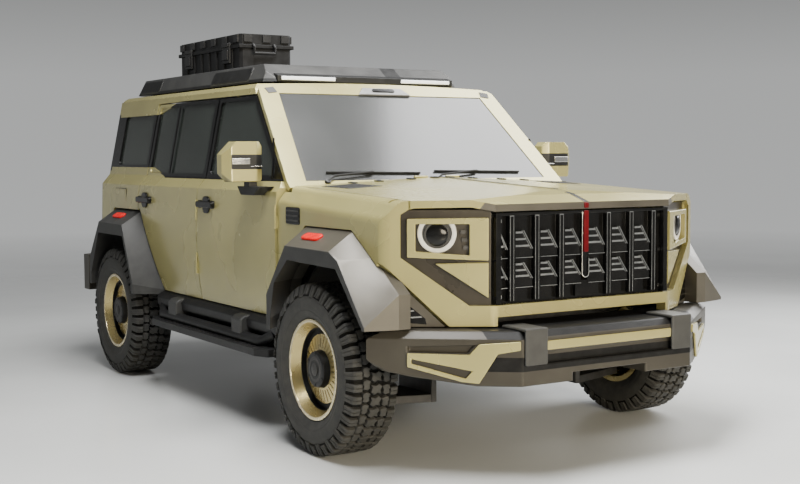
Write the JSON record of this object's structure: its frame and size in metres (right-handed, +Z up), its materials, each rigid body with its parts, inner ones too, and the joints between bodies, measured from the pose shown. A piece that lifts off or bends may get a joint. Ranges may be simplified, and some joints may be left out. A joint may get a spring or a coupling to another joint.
{
  "type": "off-road vehicle",
  "caption": "Boxy five-door off-road vehicle with wide angular wheel flares, roof tray with a hard case, side steps, opening doors, hood and tailgate.",
  "frame": {"origin": "on the ground, in the middle of the vehicle's length and width", "axes": "+Z up, nose towards -Y, +X to the vehicle's left"},
  "size_m": [2.31, 4.53, 2.19],
  "materials": {
    "paint": "satin",
    "flare_finish": "satin",
    "black_plastic": "matte",
    "tint_glass": "tinted",
    "screen_glass": "clear",
    "lamp_lens": "clear",
    "tail_lens": "gloss",
    "tray_metal": "satin",
    "tyre_rubber": "matte",
    "rim_paint": "satin",
    "chassis_paint": "matte",
    "running_gear": "matte",
    "engine_metal": "cast",
    "seat_cover": "matte"
  },
  "bodies": {
    "body": {"body_side_left": "paint", "body_side_right": "paint", "bumper_straps": "black_plastic", "bumper_trim": "paint", "chassis_frame": "chassis_paint", "dashboard": "black_plastic", "drivetrain": "running_gear", "engine_block": "engine_metal", "floor_tub": "chassis_paint", "front_bumper": "flare_finish", "front_fascia": "paint", "front_fenders": "paint", "front_seats": "seat_cover", "front_suspension": "running_gear", "grille": "black_plastic", "headlamps": "lamp_lens", "lamp_bezels": "paint", "quarter_glass": "tint_glass", "rear_axle": "running_gear", "rear_bumper": "flare_finish", "rear_frame": "paint", "rear_seat": "seat_cover", "roof_case": "black_plastic", "roof_panel": "paint", "roof_tray": "tray_metal", "side_steps": "black_plastic", "steering_column": "black_plastic", "tail_lamps": "tail_lens", "wheel_flares": "flare_finish", "wheel_liners": "black_plastic", "windscreen": "screen_glass", "windscreen_frame": "paint"},
    "door_front_right": {"door_front_right": "paint", "glass_front_right": "tint_glass", "mirror_right": "paint"},
    "door_rear_right": {"door_rear_right": "paint", "glass_rear_right": "tint_glass"},
    "knuckle_right": {"knuckle_right": "running_gear"},
    "wheel_front_right": {"tyre_front_right": "tyre_rubber", "rim_front_right": "rim_paint"},
    "wheel_rear_right": {"tyre_rear_right": "tyre_rubber", "rim_rear_right": "rim_paint"},
    "door_front_left": {"door_front_left": "paint", "glass_front_left": "tint_glass", "mirror_left": "paint"},
    "door_rear_left": {"door_rear_left": "paint", "glass_rear_left": "tint_glass"},
    "knuckle_left": {"knuckle_left": "running_gear"},
    "wheel_front_left": {"tyre_front_left": "tyre_rubber", "rim_front_left": "rim_paint"},
    "wheel_rear_left": {"tyre_rear_left": "tyre_rubber", "rim_rear_left": "rim_paint"},
    "hood": {"hood": "paint"},
    "tailgate": {"tailgate": "paint", "tailgate_glass": "tint_glass", "spare_tyre": "tyre_rubber", "spare_rim": "rim_paint"},
    "steering_wheel": {"steering_wheel": "black_plastic"}
  },
  "joints": [
    {"name": "door_front_right_hinge", "type": "hinge", "parent": "body", "child": "door_front_right", "pos_m": [-0.957, -0.775, 0.9], "axis": [0, 0, 1], "range_deg": [0, 70]},
    {"name": "door_rear_right_hinge", "type": "hinge", "parent": "body", "child": "door_rear_right", "pos_m": [-0.957, 0.2585, 0.9], "axis": [0, 0, 1], "range_deg": [0, 70]},
    {"name": "door_front_left_hinge", "type": "hinge", "parent": "body", "child": "door_front_left", "pos_m": [0.957, -0.775, 0.9], "axis": [0, 0, -1], "range_deg": [0, 70]},
    {"name": "door_rear_left_hinge", "type": "hinge", "parent": "body", "child": "door_rear_left", "pos_m": [0.957, 0.2585, 0.9], "axis": [0, 0, -1], "range_deg": [0, 70]},
    {"name": "hood_hinge", "type": "hinge", "parent": "body", "child": "hood", "pos_m": [0, -0.83, 1.302], "axis": [-1, 0, 0], "range_deg": [0, 55]},
    {"name": "tailgate_hinge", "type": "hinge", "parent": "body", "child": "tailgate", "pos_m": [-0.76, 1.95, 1.2], "axis": [0, 0, 1], "range_deg": [0, 90]},
    {"name": "steer_right", "type": "hinge", "parent": "body", "child": "knuckle_right", "pos_m": [-0.8, -1.335, 0.41], "axis": [0, 0, 1], "range_deg": [-30, 30]},
    {"name": "wheel_front_right_spin", "type": "hinge", "parent": "knuckle_right", "child": "wheel_front_right", "pos_m": [-0.935, -1.335, 0.41], "axis": [1, 0, 0], "continuous": true},
    {"name": "wheel_rear_right_spin", "type": "hinge", "parent": "body", "child": "wheel_rear_right", "pos_m": [-0.935, 1.415, 0.41], "axis": [1, 0, 0], "continuous": true},
    {"name": "steer_left", "type": "hinge", "parent": "body", "child": "knuckle_left", "pos_m": [0.8, -1.335, 0.41], "axis": [0, 0, 1], "range_deg": [-30, 30]},
    {"name": "wheel_front_left_spin", "type": "hinge", "parent": "knuckle_left", "child": "wheel_front_left", "pos_m": [0.935, -1.335, 0.41], "axis": [1, 0, 0], "continuous": true},
    {"name": "wheel_rear_left_spin", "type": "hinge", "parent": "body", "child": "wheel_rear_left", "pos_m": [0.935, 1.415, 0.41], "axis": [1, 0, 0], "continuous": true},
    {"name": "steering_wheel_turn", "type": "hinge", "parent": "body", "child": "steering_wheel", "pos_m": [0.37, -0.375, 1.085], "axis": [0, 0.9135, 0.4067], "range_deg": [-450, 450]}
  ],
  "couplings": [
    {"joint": "steer_left", "follows": "steer_right", "ratio": 1},
    {"joint": "steering_wheel_turn", "follows": "steer_right", "ratio": 15}
  ]
}
